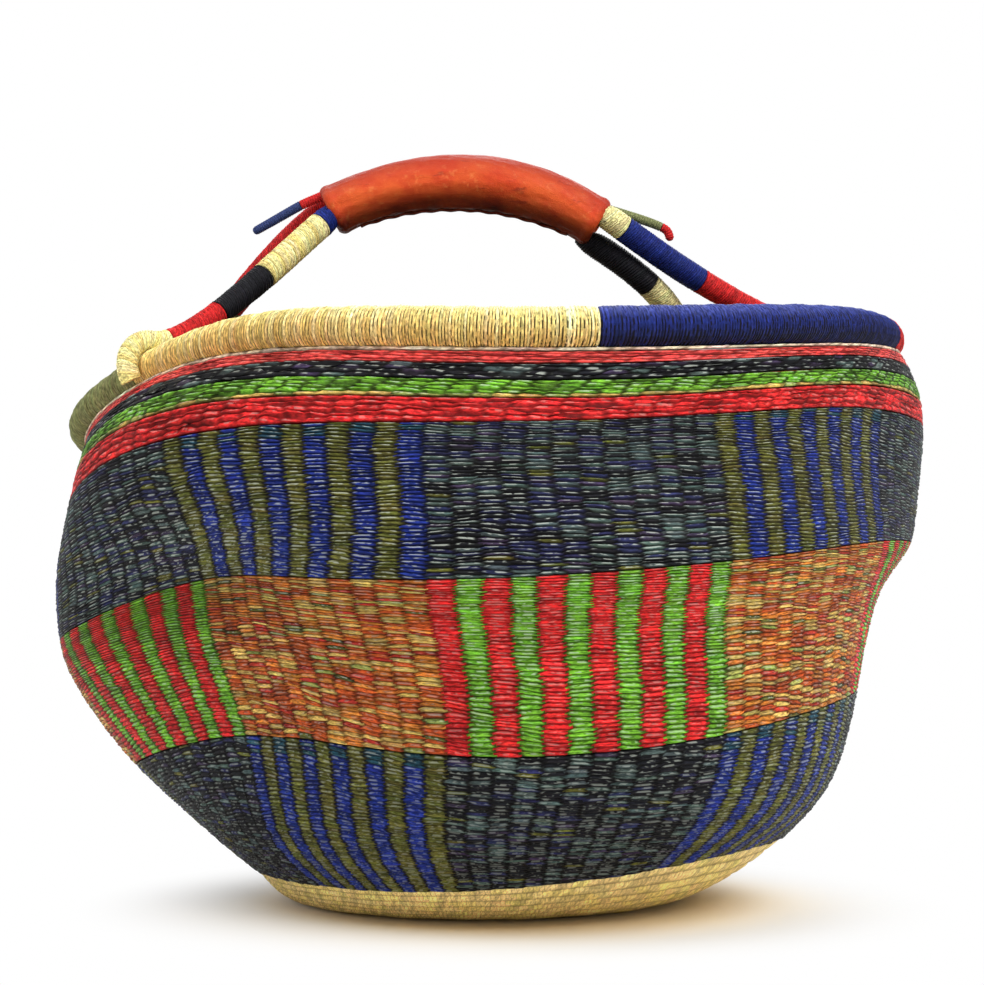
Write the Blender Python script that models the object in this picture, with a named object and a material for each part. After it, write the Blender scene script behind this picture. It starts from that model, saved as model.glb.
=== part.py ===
"""Round woven market basket with a wrapped rim and a leather-covered double handle.

Metres, +Z up. The origin lies on the floor, within the flat underside. -Y is the
front, +X is the right. An angle round the basket is 0 at the front and grows towards
the right.
"""
import math

import bmesh
import bpy
import numpy as np

# Driving sizes of the woven body
BODY_HALF_WIDTH = 0.200
BODY_HALF_DEPTH = 0.176
BODY_HEIGHT = 0.220
WALL_THICKNESS = 0.0042
BASE_THICKNESS = 0.005

# Driving sizes of the rim
RIM_DIAMETER = 0.0155
RIM_WRAP_THICKNESS = 0.0022
RIM_LEAN = math.radians(4.0)

# Driving sizes of the handle ropes
ROPE_DIAMETER = 0.012
ROPE_WRAP_THICKNESS = 0.002
ROPE_CORE_CLEARANCE = 0.0006
FOOT_DIAMETER = 0.009
FOOT_CLEARANCE = 0.0005
FOOT_WRAP_SHARE = 0.85

# Driving sizes of the grip
GRIP_SPAN = 0.121
GRIP_RISE = 0.0157
GRIP_TILT = math.radians(2.4)
GRIP_MIDDLE_HEIGHT = 0.3288
GRIP_ASIDE = -0.012
GRIP_THICKNESS = 0.0254
GRIP_DEPTH = 0.0285
GRIP_END_SHARE = 0.88
LEATHER_THICKNESS = 0.002
LACING_WIDTH = 0.004
LACING_THICKNESS = 0.0014

# Driving sizes of the cord tails
TAIL_DIAMETER = 0.0042
TAIL_LENGTH = 0.036

# Gap that touching pieces keep
SEAT_GAP = 0.0003

# Numbers of facets, and the angle past which an edge stays sharp
ROUND_STEPS = 48
ROPE_SIDES = 8
GRIP_SIDES = 12
FOOT_POINTS = 7
LEG_STEPS = 7
GRIP_STEPS = 8
SHARP_ANGLE = math.radians(40.0)

# Closest that a cut may lie to a ring of facets, as shares of a facet and of the
# rope's diameter
FACET_MARGIN_SHARE = 0.2
RING_MARGIN_SHARE = 0.25

# Stretch of each rope, as shares of its length, over which it thins to its foot
THINNING_SHARES = (0.3, 0.8)

# Step, in levels and in radians, over which a slope of the wall is taken
SLOPE_STEP = 1e-4

# Directions from the front of the basket to its back, and straight up
BACK = np.array([0.0, 1.0, 0.0])
UPRIGHT = np.array([0.0, 0.0, 1.0])

# The key rings of the woven wall. A level is a line of the pattern: 0 the edge of the
# straw base, 1 and 2 the lines between the three zones, 3 the foot of the bands and
# 4 the top edge. Heights and waves are shares of the body height, widths and the
# shift aside are shares of the half width, and depths of the half depth.
RING_LEVEL_SHARES = (0.0, 0.5, 1.0, 1.5, 2.0, 2.5, 3.0, 4.0)
RING_SHARES = {
    "height_share": (0.095, 0.20, 0.355, 0.535, 0.635, 0.75, 0.865, 1.03),
    "width_share": (0.60, 0.71, 0.815, 0.91, 0.97, 0.99, 0.97, 0.935),
    "depth_share": (0.69, 0.83, 0.925, 0.985, 1.02, 1.035, 1.03, 0.95),
    "aside": (0.065, 0.045, 0.005, -0.03, -0.015, 0.015, 0.045, 0.015),
    "climb_right": (0.06, 0.08, 0.11, 0.12, 0.11, 0.12, 0.12, 0.11),
    "climb_back": (0.01, 0.01, -0.01, -0.02, -0.05, -0.08, -0.10, -0.06),
    "wave_twice": (0.01, -0.01, -0.04, -0.045, -0.045, -0.035, -0.045, -0.06),
    "wave_thrice": (-0.005, -0.005, -0.025, -0.02, -0.03, -0.025, -0.035, -0.025),
    "skew": (0.015, 0.065, 0.11, 0.115, 0.13, -0.025, -0.09, 0.02),
    "lobe_even": (0.015, 0.005, 0.04, 0.065, 0.105, 0.085, 0.025, 0.04),
    "lobe_odd": (0.01, -0.005, 0.01, 0.015, 0.005, 0.045, 0.045, 0.03),
}

# The ring where the rounded base lies on the floor, as shares of the same sizes, and
# the power that rounds the base up from it
FLOOR_RING_SHARES = {"width_share": 0.41, "depth_share": 0.43, "aside": -0.03}
BASE_CURVE_POWER = 1.7
BASE_LEVEL_SHARES = (-1.0, -0.66, -0.33)

# Weft pieces from the base up: name, first level, last level, rows of facets, colour
WEFT_LEVEL_SHARES = (
    ("lower_weft_zone", 0.0, 1.0, 3, "slate"),
    ("middle_weft_zone", 1.0, 2.0, 3, "orange"),
    ("upper_weft_zone", 2.0, 3.0, 3, "slate"),
    ("lower_red_band", 3.0, 3.25, 1, "red"),
    ("green_band", 3.25, 3.48, 1, "green"),
    ("black_band", 3.48, 3.73, 1, "black"),
    ("upper_red_band", 3.73, 3.93, 1, "red"),
    ("top_edge_row", 3.93, 4.0, 1, "salmon"),
)

# Wrapped stretches of the rim: name, start and end angle in degrees, colour
RIM_WRAP_ANGLES = (
    ("rim_wrap_natural_front", -60.0, 11.1, "natural"),
    ("rim_wrap_navy_right", 11.1, 74.0, "navy"),
    ("rim_wrap_red_right", 74.0, 128.0, "red"),
    ("rim_wrap_natural_back", 128.0, 186.0, "natural"),
    ("rim_wrap_black_back", 186.0, 242.0, "black"),
    ("rim_wrap_olive_left", 242.0, 300.0, "olive"),
)

# Feet of the two handle ropes: angle round the rim in degrees
FOOT_ANGLES = {
    ("front", "left"): -58.0,
    ("front", "right"): 108.0,
    ("back", "left"): -116.0,
    ("back", "right"): 149.0,
}

# How far outward of the rim's top each rope meets it, as a share of its slope
FOOT_FALL_SHARES = {
    ("front", "left"): 0.50,
    ("front", "right"): 0.40,
    ("back", "left"): 0.55,
    ("back", "right"): 0.55,
}

# Where each rope leaves the grip, as shares of the rope's diameter, back and up
ROPE_EXIT_SHARES = {
    ("front", "left"): (-0.5, -0.25),
    ("front", "right"): (-0.5, 0.33),
    ("back", "left"): (0.5, 0.25),
    ("back", "right"): (0.5, -0.70),
}

# How far each leg keeps its direction at the grip and at the rim, as shares of its
# straight length
LEG_HOLD_SHARES = {
    ("front", "left"): (0.10, 0.20),
    ("front", "right"): (0.05, 0.30),
    ("back", "left"): (0.20, 0.10),
    ("back", "right"): (0.60, 0.30),
}

# Wrapped stretches of each leg: name, start and end as shares of the rope from the
# grip's end to the tip of its foot, colour
LEG_WRAP_SHARES = {
    ("front", "left"): (
        ("front_left_wrap_navy", 0.0, 0.063, "navy"),
        ("front_left_wrap_natural", 0.063, 0.344, "natural"),
        ("front_left_wrap_black", 0.344, 0.56, "black"),
        ("front_left_wrap_red", 0.56, 0.768, "red"),
        ("front_left_foot_natural", 0.768, 1.0, "natural"),
    ),
    ("front", "right"): (
        ("front_right_wrap_natural", 0.0, 0.076, "natural"),
        ("front_right_wrap_blue", 0.076, 0.345, "navy"),
        ("front_right_wrap_red", 0.345, 0.76, "red"),
        ("front_right_foot_red", 0.76, 1.0, "red"),
    ),
    ("back", "left"): (
        ("back_left_wrap_red", 0.0, 0.38, "red"),
        ("back_left_wrap_olive", 0.38, 0.74, "olive"),
        ("back_left_foot_navy", 0.74, 1.0, "navy"),
    ),
    ("back", "right"): (
        ("back_right_wrap_black", 0.0, 0.18, "black"),
        ("back_right_wrap_natural", 0.18, 0.78, "natural"),
        ("back_right_foot_natural", 0.78, 1.0, "natural"),
    ),
}

# The two tails of the binding cord: where each leaves the grip's end, back and up, as
# shares of the grip's depth and thickness; its route right, back and up, as shares of
# the tail's length; and its wraps, with their start and end as shares of its steps
TAIL_SHARES = {
    "left": ((-0.10, 0.31),
             ((0.0, 0.0, 0.0), (-0.15, 0.03, -0.06), (-0.32, 0.06, -0.13), (-0.60, 0.10, -0.28),
              (-0.94, 0.12, -0.47)),
             (("left_tail_red", 0.0, 0.5, "red"), ("left_tail_navy", 0.5, 1.0, "navy"))),
    "right": ((0.10, 0.31),
              ((0.0, 0.0, 0.0), (0.25, 0.03, -0.07), (0.52, 0.06, -0.15), (0.74, 0.09, -0.23),
               (0.83, 0.10, -0.30), (0.86, 0.10, -0.41)),
              (("right_tail_olive", 0.0, 0.6, "olive"), ("right_tail_red", 0.6, 1.0, "red"))),
}

COLOURS = {
    "natural": ((0.72, 0.56, 0.26, 1.0), 0.6),
    "straw": ((0.66, 0.45, 0.16, 1.0), 0.7),
    "navy": ((0.015, 0.02, 0.16, 1.0), 0.5),
    "red": ((0.60, 0.02, 0.03, 1.0), 0.55),
    "green": ((0.12, 0.36, 0.02, 1.0), 0.55),
    "black": ((0.012, 0.012, 0.018, 1.0), 0.55),
    "olive": ((0.12, 0.13, 0.06, 1.0), 0.6),
    "slate": ((0.035, 0.045, 0.06, 1.0), 0.65),
    "orange": ((0.38, 0.12, 0.02, 1.0), 0.65),
    "salmon": ((0.70, 0.30, 0.14, 1.0), 0.65),
    "leather": ((0.60, 0.07, 0.015, 1.0), 0.45),
}


def clear_scene():
    """Remove whatever objects the opened scene holds."""
    for thing in list(bpy.data.objects):
        bpy.data.objects.remove(thing, do_unlink=True)


def make_material(name, colour, roughness):
    """One Principled material in the given colour and roughness."""
    material = bpy.data.materials.new(name)
    material.use_nodes = True
    shader = material.node_tree.nodes["Principled BSDF"]
    shader.inputs["Base Color"].default_value = colour
    shader.inputs["Roughness"].default_value = roughness
    shader.inputs["Metallic"].default_value = 0.0
    return material


def add_piece(name, points, faces, colour):
    """Make one named object from points and faces, facing outward and smooth shaded."""
    mesh = bpy.data.meshes.new(name)
    mesh.from_pydata([tuple(float(c) for c in p) for p in points], [], faces)
    work = bmesh.new()
    work.from_mesh(mesh)
    bmesh.ops.recalc_face_normals(work, faces=work.faces)
    work.to_mesh(mesh)
    work.free()
    mesh.shade_smooth()
    mesh.set_sharp_from_angle(angle=SHARP_ANGLE)
    mesh.materials.append(make_material(name, *COLOURS[colour]))
    piece = bpy.data.objects.new(name, mesh)
    bpy.context.collection.objects.link(piece)
    return piece


def natural_spline(knots, values, at):
    """Natural cubic spline through (knots, values), straight past both ends."""
    knots = np.asarray(knots, float)
    values = np.asarray(values, float)
    step = np.diff(knots)
    slope = np.diff(values) / step
    count = len(knots)
    matrix = np.eye(count)
    right = np.zeros(count)
    for k in range(1, count - 1):
        matrix[k, k - 1:k + 2] = (step[k - 1], 2.0 * (step[k - 1] + step[k]), step[k])
        right[k] = 6.0 * (slope[k] - slope[k - 1])
    bend = np.linalg.solve(matrix, right)
    at = np.asarray(at, float)
    k = np.clip(np.searchsorted(knots, at) - 1, 0, count - 2)
    a = (knots[k + 1] - at) / step[k]
    b = 1.0 - a
    curve = ((a ** 3 - a) * bend[k] + (b ** 3 - b) * bend[k + 1]) * step[k] ** 2 / 6.0
    return a * values[k] + b * values[k + 1] + curve


def wall_surface(level, angle):
    """Outer face of the woven wall at levels 0 to 4, angle in radians.

    An oval ring, leaning to one side, whose front half carries waves in height and
    lobes in plan. Both fade out towards the back.
    """
    share = {key: natural_spline(RING_LEVEL_SHARES, row, level) for key, row in RING_SHARES.items()}
    front = 0.5 + 0.5 * np.cos(angle)
    lobes = (share["skew"] * np.sin(2.0 * angle) + share["lobe_even"] * np.cos(3.0 * angle)
             + share["lobe_odd"] * np.sin(3.0 * angle))
    swell = 1.0 + front * lobes
    x = BODY_HALF_WIDTH * (share["aside"] + share["width_share"] * np.sin(angle) * swell)
    y = -BODY_HALF_DEPTH * share["depth_share"] * np.cos(angle) * swell
    waves = (share["wave_twice"] * np.sin(2.0 * angle)
             + share["wave_thrice"] * np.cos(3.0 * angle))
    z = (BODY_HEIGHT * (share["height_share"] + front * waves)
         + share["climb_right"] * x + front * share["climb_back"] * y)
    return np.stack(np.broadcast_arrays(x, y, z), axis=-1)


def base_surface(level, angle):
    """Outer face of the base, level -1 on the floor to 0 at its woven edge."""
    edge = wall_surface(np.zeros_like(level), angle)
    foot_x = BODY_HALF_WIDTH * (FLOOR_RING_SHARES["aside"]
                                + FLOOR_RING_SHARES["width_share"] * np.sin(angle))
    foot_y = -BODY_HALF_DEPTH * FLOOR_RING_SHARES["depth_share"] * np.cos(angle)
    along = level + 1.0
    x = foot_x + (edge[..., 0] - foot_x) * along
    y = foot_y + (edge[..., 1] - foot_y) * along
    z = edge[..., 2] * along ** BASE_CURVE_POWER
    return np.stack(np.broadcast_arrays(x, y, z), axis=-1)


def unit(vectors):
    """Vectors scaled to length 1."""
    return vectors / np.linalg.norm(vectors, axis=-1, keepdims=True)


def surface_frames(surface, level, angle, side=0.0):
    """Points of a surface, with directions up it, square to its rings, and inward.

    side is 0 for a central difference in level, or 1 to look only above the level.
    """
    point = surface(level, angle)
    below = surface(level - SLOPE_STEP * (1.0 - side), angle)
    up = unit(surface(level + SLOPE_STEP, angle) - below)
    around = unit(surface(level, angle + SLOPE_STEP) - surface(level, angle - SLOPE_STEP))
    inward = unit(np.cross(up, around))
    return point, unit(np.cross(around, inward)), inward


def ring_angles():
    """The angles of the facets round the basket."""
    return np.linspace(0.0, 2.0 * math.pi, ROUND_STEPS, endpoint=False)


def loft_closed(rings, turn_from=None):
    """Triangles of a grid whose rings close round and whose last ring meets its first.

    From ring turn_from on, which is where an inner face starts, each facet is split
    along its other diagonal, so that faces that lie against each other match.
    """
    count, size = len(rings), len(rings[0])
    turn_from = count if turn_from is None else turn_from
    faces = []
    for i in range(count):
        for j in range(size):
            k, m = (i + 1) % count, (j + 1) % size
            a, b, c, d = i * size + j, i * size + m, k * size + m, k * size + j
            faces.extend([(a, b, c), (a, c, d)] if i < turn_from else [(a, b, d), (b, c, d)])
    return np.concatenate(rings), faces


def loft_capped(rings):
    """Triangles of a grid whose rings close round, with a flat cap on both ends."""
    points, faces = loft_closed(rings)
    size = len(rings[0])
    last = len(points) - size
    caps = [tuple(range(size)), tuple(range(last, last + size))]
    return points, faces[:2 * last] + caps


def make_weft_piece(name, first, last, rows, colour):
    """A band of the wall between two levels, cut square to the wall at both ends."""
    angle = ring_angles()
    outer, inner = [], []
    for k, level in enumerate(np.linspace(first, last, rows + 1)):
        side = 1.0 if level == 0.0 else 0.0
        point, up, inward = surface_frames(wall_surface, np.full_like(angle, level), angle, side)
        shift = SEAT_GAP * 0.5 * ((k == 0) - (k == rows)) * up
        outer.append(point + shift)
        inner.append(point + shift + inward * WALL_THICKNESS)
    points, faces = loft_closed(outer + inner[::-1], len(outer))
    return add_piece(name, points, faces, colour)


def make_base():
    """The rounded straw base: a shallow dish, flat where it lies on the floor."""
    angle = ring_angles()
    outer, inner = [], []
    for level in BASE_LEVEL_SHARES:
        lowest = level == BASE_LEVEL_SHARES[0]
        point, _, inward = surface_frames(base_surface, np.full_like(angle, level), angle,
                                          1.0 if lowest else 0.0)
        if lowest:
            inward = UPRIGHT
        outer.append(point)
        inner.append(point + inward * BASE_THICKNESS)
    point, up, inward = surface_frames(wall_surface, np.zeros_like(angle), angle, 1.0)
    outer.append(point - SEAT_GAP * 0.5 * up)
    inner.append(outer[-1] + inward * WALL_THICKNESS)
    points, faces = loft_capped(outer + inner[::-1])
    return add_piece("base_disc", points, faces, "straw")


def rim_frames(angle):
    """Centre line of the rim, its outward and upward directions, at angles in radians.

    The rim sits on the wall's top edge and leans a little to the left. It stands upright at
    the front and the back, where it rests on the outer corner of the edge, and follows the
    slope of the wall at the sides.
    """
    angle = np.atleast_1d(np.asarray(angle, float))
    level = np.full_like(angle, RING_LEVEL_SHARES[-1])
    point, up, inward = surface_frames(wall_surface, level, angle)
    lean = (RIM_LEAN * inward[:, 0])[:, None]
    upright = (np.cos(angle) ** 2)[:, None]
    rising = unit(upright * UPRIGHT + (1.0 - upright) * up)
    towards = unit(np.cos(lean) * rising - np.sin(lean) * inward)
    rise = np.sum(towards * up, axis=1, keepdims=True)
    aside = np.abs(np.sum(towards * inward, axis=1, keepdims=True))
    reach = RIM_DIAMETER * 0.5 + SEAT_GAP
    half = WALL_THICKNESS * 0.5
    on_edge = reach / rise
    on_corner = half * aside + np.sqrt(reach ** 2 - (half * rise) ** 2)
    seat = np.where(on_edge * aside > half, on_corner, on_edge)
    return point + inward * half + seat * towards, -inward, up


def tube_rings(centres, sides_a, sides_b, radius, sides):
    """Rings of points round a centre line, in the plane of two directions.

    radius is one value, or one for each point of the line.
    """
    turn = 2.0 * math.pi * np.arange(sides) / sides
    a = np.cos(turn)[None, :, None] * sides_a[:, None, :]
    b = np.sin(turn)[None, :, None] * sides_b[:, None, :]
    return centres[:, None, :] + np.reshape(radius, (-1, 1, 1)) * (a + b)


def add_sleeve(name, centres, sides_a, sides_b, outer_radius, inner_radius, colour, sides):
    """A hollow wrap round a centre line, open at both ends."""
    outer = tube_rings(centres, sides_a, sides_b, outer_radius, sides)
    inner = tube_rings(centres, sides_a, sides_b, inner_radius, sides)
    points, faces = loft_closed(np.concatenate([outer, inner[::-1]]), len(outer))
    return add_piece(name, points, faces, colour)


def add_rod(name, centres, sides_a, sides_b, radius, colour, sides):
    """A solid round rod along a centre line, with flat ends."""
    points, faces = loft_capped(tube_rings(centres, sides_a, sides_b, radius, sides))
    return add_piece(name, points, faces, colour)


def trim_ends(centres, cut):
    """Move both end points of a centre line inwards along it."""
    centres = centres.copy()
    centres[0] += cut * unit(centres[1] - centres[0])
    centres[-1] += cut * unit(centres[-2] - centres[-1])
    return centres


def make_rim():
    """The bundle of stake ends on the top edge, and the straw wrapped round it."""
    centre, out, up = rim_frames(ring_angles())
    core_radius = RIM_DIAMETER * 0.5 - RIM_WRAP_THICKNESS - SEAT_GAP
    points, faces = loft_closed(tube_rings(centre, out, up, core_radius, ROPE_SIDES))
    add_piece("rim_core", points, faces, "straw")
    facet = 360.0 / ROUND_STEPS
    for name, start, end, colour in RIM_WRAP_ANGLES:
        first = math.ceil(start / facet + FACET_MARGIN_SHARE)
        last = math.floor(end / facet - FACET_MARGIN_SHARE)
        inner_stops = np.arange(first, last + 1) * facet
        stops = np.radians(np.concatenate([[start], inner_stops, [end]]))
        out, up = rim_frames(stops)[1:]
        centre = trim_ends(rim_chord_points(stops), SEAT_GAP * 0.5)
        add_sleeve(name, centre, out, up, RIM_DIAMETER * 0.5,
                   RIM_DIAMETER * 0.5 - RIM_WRAP_THICKNESS, colour, ROPE_SIDES)


def rim_chord_points(stops):
    """Rim centre points at angles, on the straight facets between the ring's steps."""
    facet = 2.0 * math.pi / ROUND_STEPS
    place = np.round(stops / facet, 6)
    low = np.floor(place) * facet
    share = (place % 1.0)[:, None]
    return rim_frames(low)[0] * (1.0 - share) + rim_frames(low + facet)[0] * share


def bent_route(start, start_hold, end_hold, end, steps):
    """Cubic curve from start to end that leaves and arrives along its two holds."""
    t = np.linspace(0.0, 1.0, steps + 1)[:, None]
    s = 1.0 - t
    return (s ** 3 * start + 3.0 * s ** 2 * t * (start + start_hold)
            + 3.0 * s * t ** 2 * (end - end_hold) + t ** 3 * end)


def path_frames(centres, hint, first):
    """Two directions square to a path at each point, carried along it without twist.

    first is the direction in which the path starts.
    """
    ahead = unit(np.gradient(centres, axis=0))
    ahead[0] = first
    a = np.zeros_like(centres)
    current = np.asarray(hint, float)
    for k, direction in enumerate(ahead):
        current = unit(current - direction * np.dot(current, direction))
        a[k] = current
    return a, np.cross(ahead, a)


def grip_line(share):
    """The grip's centre line, an arc, with its directions right along it and up.

    share runs from -1 at the left end to 1 at the right end. The right end is lower.
    """
    half = GRIP_SPAN * 0.5
    radius = (half ** 2 + GRIP_RISE ** 2) / (2.0 * GRIP_RISE)
    turn = np.asarray(share, float) * math.asin(half / radius) + GRIP_TILT
    level = np.zeros_like(turn)
    along = np.stack([np.cos(turn), level, -np.sin(turn)], axis=-1)
    up = np.stack([np.sin(turn), level, np.cos(turn)], axis=-1)
    middle = np.array([GRIP_ASIDE, 0.0, GRIP_MIDDLE_HEIGHT])
    middle_up = np.array([math.sin(GRIP_TILT), 0.0, math.cos(GRIP_TILT)])
    return middle + radius * (up - middle_up), along, up


def foot_route(angle, fall_share, start):
    """A rope's way over the rim, from above it to just short of the wall's edge.

    Its first direction is returned too.
    """
    turn = math.radians(angle)
    out, up = (row[0] for row in rim_frames(turn)[1:])
    centre = rim_chord_points(np.array([turn]))[0]
    bend = RIM_DIAMETER * 0.5 + FOOT_CLEARANCE
    reach = bend + FOOT_DIAMETER * 0.5
    fall = math.atan2(np.dot(start - centre, up), np.dot(centre - start, out))
    first = math.pi / 2.0 - fall_share * fall
    edge = wall_surface(np.array(RING_LEVEL_SHARES[-1]), turn)
    last = -FOOT_WRAP_SHARE * math.acos((np.dot(edge - centre, out) + FOOT_CLEARANCE) / bend)
    points = []
    for rise in np.linspace(first, last, FOOT_POINTS):
        points.append(centre + reach * (math.cos(rise) * out + math.sin(rise) * up))
    return np.array(points), math.sin(first) * out - math.cos(first) * up


def grip_end(side):
    """The middle of the grip's end, the direction that leaves it, and up from it."""
    sign = 1.0 if side == "right" else -1.0
    end, along, up = grip_line(sign)
    return end, sign * along, up


def rope_route(rope, side):
    """Points of one leg, from the grip's end down to the tip of its foot."""
    end, ahead, up = grip_end(side)
    back_share, up_share = ROPE_EXIT_SHARES[rope, side]
    start = (end + SEAT_GAP * ahead + ROPE_DIAMETER * up_share * up
             + ROPE_DIAMETER * back_share * BACK)
    foot, arrive = foot_route(FOOT_ANGLES[rope, side], FOOT_FALL_SHARES[rope, side], start)
    span = np.linalg.norm(foot[0] - start)
    grip_hold, foot_hold = LEG_HOLD_SHARES[rope, side]
    leg = bent_route(start, grip_hold * span * ahead, foot_hold * span * arrive, foot[0], LEG_STEPS)
    return np.vstack([leg[:-1], foot])


def rope_rings(route, cuts):
    """Ring centres and radii along a route, with one at each cut, and the cuts' places.

    Cuts are shares of the route's length. A ring of the route close to one gives way.
    """
    lengths = np.linalg.norm(np.diff(route, axis=0), axis=1)
    length = np.concatenate([[0.0], np.cumsum(lengths)])
    cuts = np.asarray(cuts) * length[-1]
    nearest = np.abs(length[:, None] - cuts[None, :]).min(axis=1)
    apart = nearest > ROPE_DIAMETER * RING_MARGIN_SHARE
    stops = np.sort(np.concatenate([length[apart], cuts]))
    centres = np.stack([np.interp(stops, length, column) for column in route.T], axis=-1)
    thin = length[-1] * np.array(THINNING_SHARES)
    radii = np.interp(stops, thin, (ROPE_DIAMETER * 0.5, FOOT_DIAMETER * 0.5))
    return centres, radii, np.searchsorted(stops, cuts)


def make_handle():
    """The legs of the two handle ropes: a grass core wrapped in coloured straw."""
    for rope, side in LEG_WRAP_SHARES:
        wraps = LEG_WRAP_SHARES[rope, side]
        cuts = [wraps[0][1]] + [wrap[2] for wrap in wraps]
        centres, radii, places = rope_rings(rope_route(rope, side), cuts)
        a, b = path_frames(centres, BACK, grip_end(side)[1])
        bores = radii - ROPE_WRAP_THICKNESS
        add_rod(f"{rope}_{side}_rope_core", trim_ends(centres, SEAT_GAP), a, b,
                bores - ROPE_CORE_CLEARANCE, "straw", ROPE_SIDES)
        for wrap, first, last in zip(wraps, places[:-1], places[1:]):
            part = slice(first, last + 1)
            add_sleeve(wrap[0], trim_ends(centres[part], SEAT_GAP * 0.5), a[part], b[part],
                       radii[part], bores[part], wrap[3], ROPE_SIDES)


def grip_rings(shares, inset, sides):
    """Oval rings round the grip's centre line, inset from its leather face."""
    centres, _, up = grip_line(shares)
    swell = (GRIP_END_SHARE + (1.0 - GRIP_END_SHARE) * np.cos(shares * math.pi / 2.0))
    half_up = (GRIP_THICKNESS * 0.5 * swell - inset)[:, None, None]
    half_back = (GRIP_DEPTH * 0.5 * swell - inset)[:, None, None]
    turn = 2.0 * math.pi * np.arange(sides) / sides
    return (centres[:, None, :] + half_back * np.cos(turn)[None, :, None] * BACK
            + half_up * np.sin(turn)[None, :, None] * up[:, None, :])


def make_grip():
    """The padded middle of the handle, its leather cover and the lacing under it."""
    shares = np.linspace(-1.0, 1.0, GRIP_STEPS + 1)
    leather = grip_rings(shares, 0.0, GRIP_SIDES)
    lining = grip_rings(shares, LEATHER_THICKNESS, GRIP_SIDES)
    points, faces = loft_closed(np.concatenate([leather, lining[::-1]]), len(leather))
    add_piece("grip_leather_cover", points, faces, "leather")
    padding = grip_rings(shares, LEATHER_THICKNESS + SEAT_GAP, GRIP_SIDES)
    add_piece("grip_padding", *loft_capped(padding), "straw")

    # The lacing closes the cover along its underside, where a ring of four has its last point
    shares = shares[1:-1]
    upper = grip_rings(shares, -SEAT_GAP, 4)[:, 3]
    lower = grip_rings(shares, -SEAT_GAP - LACING_THICKNESS, 4)[:, 3]
    half = LACING_WIDTH * 0.5 * BACK
    rings = np.stack([upper - half, upper + half, lower + half, lower - half], axis=1)
    add_piece("grip_lacing", *loft_capped(rings), "leather")


def make_tails():
    """The two ends of the cord that binds the grip, each wrapped in two colours."""
    for side, (start_shares, route_shares, names) in TAIL_SHARES.items():
        end, ahead, up = grip_end(side)
        back_share, up_share = start_shares
        start = (end + SEAT_GAP * ahead + GRIP_THICKNESS * up_share * up
                 + GRIP_DEPTH * back_share * BACK)
        route = start + TAIL_LENGTH * np.array(route_shares)
        a, b = path_frames(route, BACK, ahead)
        steps = len(route) - 1
        for name, first, last, colour in names:
            part = slice(round(first * steps), round(last * steps) + 1)
            add_rod(name, trim_ends(route[part], SEAT_GAP * 0.5), a[part], b[part],
                    TAIL_DIAMETER * 0.5, colour, ROPE_SIDES)


clear_scene()
make_base()
for weft in WEFT_LEVEL_SHARES:
    make_weft_piece(*weft)
make_rim()
make_handle()
make_grip()
make_tails()
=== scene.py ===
"""Round hand-woven market basket with a wrapped rim, rope legs and a leather-covered grip.

Metres, +Z up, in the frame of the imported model: -Y is the front and +X the right. An
angle round the basket is 0 at the front and grows towards the right.
"""
import math

import bpy
import numpy as np
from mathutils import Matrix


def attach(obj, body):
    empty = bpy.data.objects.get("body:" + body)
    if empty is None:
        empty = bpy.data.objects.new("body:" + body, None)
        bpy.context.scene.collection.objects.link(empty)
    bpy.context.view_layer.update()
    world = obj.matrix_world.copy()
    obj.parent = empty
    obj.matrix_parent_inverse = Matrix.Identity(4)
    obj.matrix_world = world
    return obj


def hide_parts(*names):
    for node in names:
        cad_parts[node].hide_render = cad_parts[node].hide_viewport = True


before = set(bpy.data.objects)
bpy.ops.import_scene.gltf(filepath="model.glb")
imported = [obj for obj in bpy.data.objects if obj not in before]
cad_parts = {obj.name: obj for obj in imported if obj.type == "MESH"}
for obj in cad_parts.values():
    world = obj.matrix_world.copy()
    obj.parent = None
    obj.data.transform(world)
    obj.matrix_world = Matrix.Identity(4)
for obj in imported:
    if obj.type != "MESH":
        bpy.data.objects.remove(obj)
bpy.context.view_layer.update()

# Camera: a long lens at about half the basket's height, looking slightly up, as in the
# photograph. Its focal length is given in pixels of the image.
CAMERA_PLACE = (0.0, -1.030, 0.132)
CAMERA_PITCH = math.radians(2.93)
FOCAL_PIXELS = 2240.0
IMAGE_HEIGHT = 985.0
SENSOR = 36.0

scene = bpy.context.scene
scene.view_settings.view_transform = "Standard"
camera_data = bpy.data.cameras.new("camera")
camera_data.sensor_width = SENSOR
camera_data.lens = SENSOR * FOCAL_PIXELS / IMAGE_HEIGHT
camera = bpy.data.objects.new("camera", camera_data)
camera.location = CAMERA_PLACE
camera.rotation_euler = (math.pi / 2.0 + CAMERA_PITCH, 0.0, 0.0)
scene.collection.objects.link(camera)
scene.camera = camera


class Socket:
    """A value in a material. Sums and products of it add Math nodes, node() adds any other."""

    def __init__(self, tree, output=None):
        self.tree, self.output = tree, output

    def node(self, kind, settings=None, inputs=None, output=0):
        """Add a node with its settings first, then the value or link of each socket."""
        made = self.tree.nodes.new(kind)
        for key, value in (settings or {}).items():
            setattr(made, key, value)
        for key, value in (inputs or {}).items():
            if isinstance(value, Socket):
                self.tree.links.new(value.output, made.inputs[key])
            else:
                made.inputs[key].default_value = value
        return Socket(self.tree, made.outputs[output])

    def maths(self, operation, *values):
        return self.node("ShaderNodeMath", {"operation": operation}, dict(enumerate(values)))

    def __add__(self, other):
        return self.maths("ADD", self, other)

    def __sub__(self, other):
        return self.maths("SUBTRACT", self, other)

    def __rsub__(self, other):
        return self.maths("SUBTRACT", other, self)

    def __mul__(self, other):
        return self.maths("MULTIPLY", self, other)

    __radd__ = __add__


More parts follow.
